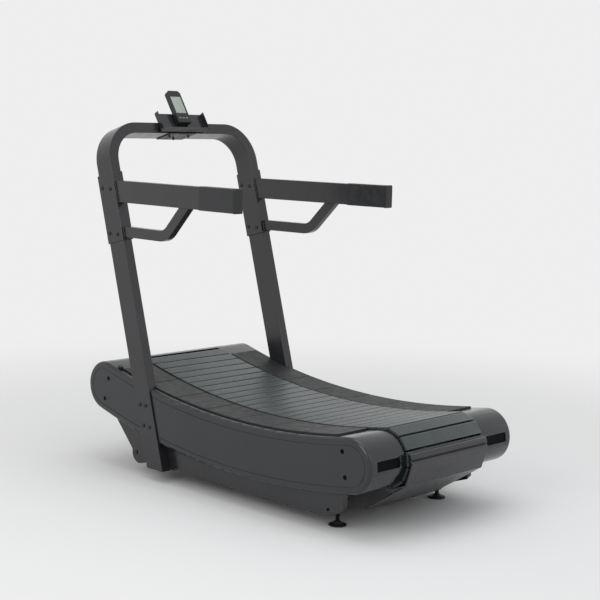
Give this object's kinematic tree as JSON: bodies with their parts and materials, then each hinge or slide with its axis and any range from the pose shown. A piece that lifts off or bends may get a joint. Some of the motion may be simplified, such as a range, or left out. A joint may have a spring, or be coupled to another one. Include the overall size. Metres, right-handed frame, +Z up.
{
  "type": "curved manual treadmill",
  "caption": "Self-powered treadmill with a concave slatted belt, foot boards, leaning goalpost frame, flared handrails and a small display in a phone tray.",
  "frame": {"origin": "on the floor below the middle of the machine", "axes": "+X towards the rear where the runner steps on, +Y to the runner's right, +Z up"},
  "size_m": [1.719, 0.9242, 1.6545],
  "materials": {
    "slat": "matte",
    "drive_belt": "matte",
    "bare_steel": "satin",
    "cast_aluminium": "satin",
    "black_frame": "satin",
    "cover_plastic": "satin",
    "tread": "matte",
    "frame_paint": "satin",
    "black_plastic": "satin",
    "button_rubber": "matte",
    "screen": "glossy",
    "fastener": "satin",
    "foot_rubber": "matte"
  },
  "bodies": {
    "frame": {"arch_tube": "frame_paint", "base_beams": "black_frame", "bearing_rails": "black_frame", "brace_left": "frame_paint", "brace_right": "frame_paint", "cover_screws": "fastener", "cross_members": "black_frame", "deck_posts": "black_frame", "display_housing": "black_plastic", "display_screen": "screen", "foot_nuts": "fastener", "foot_pads_left": "tread", "foot_pads_right": "tread", "frame_bolts": "fastener", "front_cover": "cover_plastic", "grips": "black_plastic", "guide_bearings": "bare_steel", "handrail_caps": "black_plastic", "handrail_left": "frame_paint", "handrail_right": "frame_paint", "phone_tray": "frame_paint", "rear_cover": "frame_paint", "rear_inserts": "black_plastic", "shaft_bearings": "cast_aluminium", "side_cover_left": "cover_plastic", "side_cover_right": "cover_plastic", "side_panels": "cover_plastic", "skirt_left": "frame_paint", "skirt_right": "frame_paint", "sleeves": "frame_paint", "tray_clamp": "black_frame", "upright_caps": "black_plastic", "upright_left": "frame_paint", "upright_right": "frame_paint", "wheel_axles": "bare_steel"},
    "top_run": {"slats_top_run": "slat", "belts_top_run": "drive_belt"},
    "rear_drum": {"slats_rear_turn": "slat", "belts_rear_turn": "drive_belt", "rear_pulleys": "cast_aluminium", "rear_shaft": "bare_steel"},
    "front_drum": {"slats_front_turn": "slat", "belts_front_turn": "drive_belt", "front_pulleys": "cast_aluminium", "front_shaft": "bare_steel"},
    "return_run": {"slats_return_run": "slat", "belts_return_run": "drive_belt"},
    "button_left": {"button_left": "button_rubber"},
    "button_middle": {"button_middle": "button_rubber"},
    "button_right": {"button_right": "button_rubber"},
    "foot_rear_left": {"foot_rear_left": "foot_rubber"},
    "foot_rear_right": {"foot_rear_right": "foot_rubber"},
    "foot_front_left": {"foot_front_left": "foot_rubber"},
    "foot_front_right": {"foot_front_right": "foot_rubber"},
    "wheel_left": {"transport_wheel_left": "foot_rubber"},
    "wheel_right": {"transport_wheel_right": "foot_rubber"},
    "side_knob": {"side_knob": "black_plastic"}
  },
  "joints": [
    {"name": "belt_travel", "type": "hinge", "parent": "frame", "child": "top_run", "pos_m": [0.152, 0, 3.554], "axis": [0, -1, 0], "range_deg": [0, 1]},
    {"name": "rear_drum_turn", "type": "hinge", "parent": "frame", "child": "rear_drum", "pos_m": [0.72298, 0, 0.28245], "axis": [0, 1, 0], "range_deg": [0, 30.71]},
    {"name": "front_drum_turn", "type": "hinge", "parent": "frame", "child": "front_drum", "pos_m": [-0.69358, 0, 0.37607], "axis": [0, 1, 0], "range_deg": [0, 44.57]},
    {"name": "return_travel", "type": "hinge", "parent": "frame", "child": "return_run", "pos_m": [0.35659, 0, 4.14863], "axis": [0, 1, 0], "range_deg": [0, 0.8047]},
    {"name": "button_left_press", "type": "slide", "parent": "frame", "child": "button_left", "axis": [-0.8387, 0, -0.5446], "range_m": [0, 0.0009], "stiffness_N_per_m": 400},
    {"name": "button_middle_press", "type": "slide", "parent": "frame", "child": "button_middle", "axis": [-0.8387, 0, -0.5446], "range_m": [0, 0.0009], "stiffness_N_per_m": 400},
    {"name": "button_right_press", "type": "slide", "parent": "frame", "child": "button_right", "axis": [-0.8387, 0, -0.5446], "range_m": [0, 0.0009], "stiffness_N_per_m": 400},
    {"name": "foot_rear_left_height", "type": "slide", "parent": "frame", "child": "foot_rear_left", "axis": [0, 0, -1], "range_m": [-0.004, 0.012]},
    {"name": "foot_rear_right_height", "type": "slide", "parent": "frame", "child": "foot_rear_right", "axis": [0, 0, -1], "range_m": [-0.004, 0.012]},
    {"name": "foot_front_left_height", "type": "slide", "parent": "frame", "child": "foot_front_left", "axis": [0, 0, -1], "range_m": [-0.004, 0.012]},
    {"name": "foot_front_right_height", "type": "slide", "parent": "frame", "child": "foot_front_right", "axis": [0, 0, -1], "range_m": [-0.004, 0.012]},
    {"name": "wheel_left_spin", "type": "hinge", "parent": "frame", "child": "wheel_left", "pos_m": [-0.565, -0.345, 0.088], "axis": [0, 1, 0], "continuous": true},
    {"name": "wheel_right_spin", "type": "hinge", "parent": "frame", "child": "wheel_right", "pos_m": [-0.565, 0.345, 0.088], "axis": [0, 1, 0], "continuous": true},
    {"name": "side_knob_turn", "type": "hinge", "parent": "frame", "child": "side_knob", "pos_m": [-0.66038, -0.4, 0.45098], "axis": [0.2533, 0, 0.9674], "continuous": true}
  ],
  "couplings": [
    {"joint": "rear_drum_turn", "follows": "belt_travel", "ratio": 30.78},
    {"joint": "front_drum_turn", "follows": "belt_travel", "ratio": 44.674},
    {"joint": "return_travel", "follows": "belt_travel", "ratio": 0.80654}
  ]
}
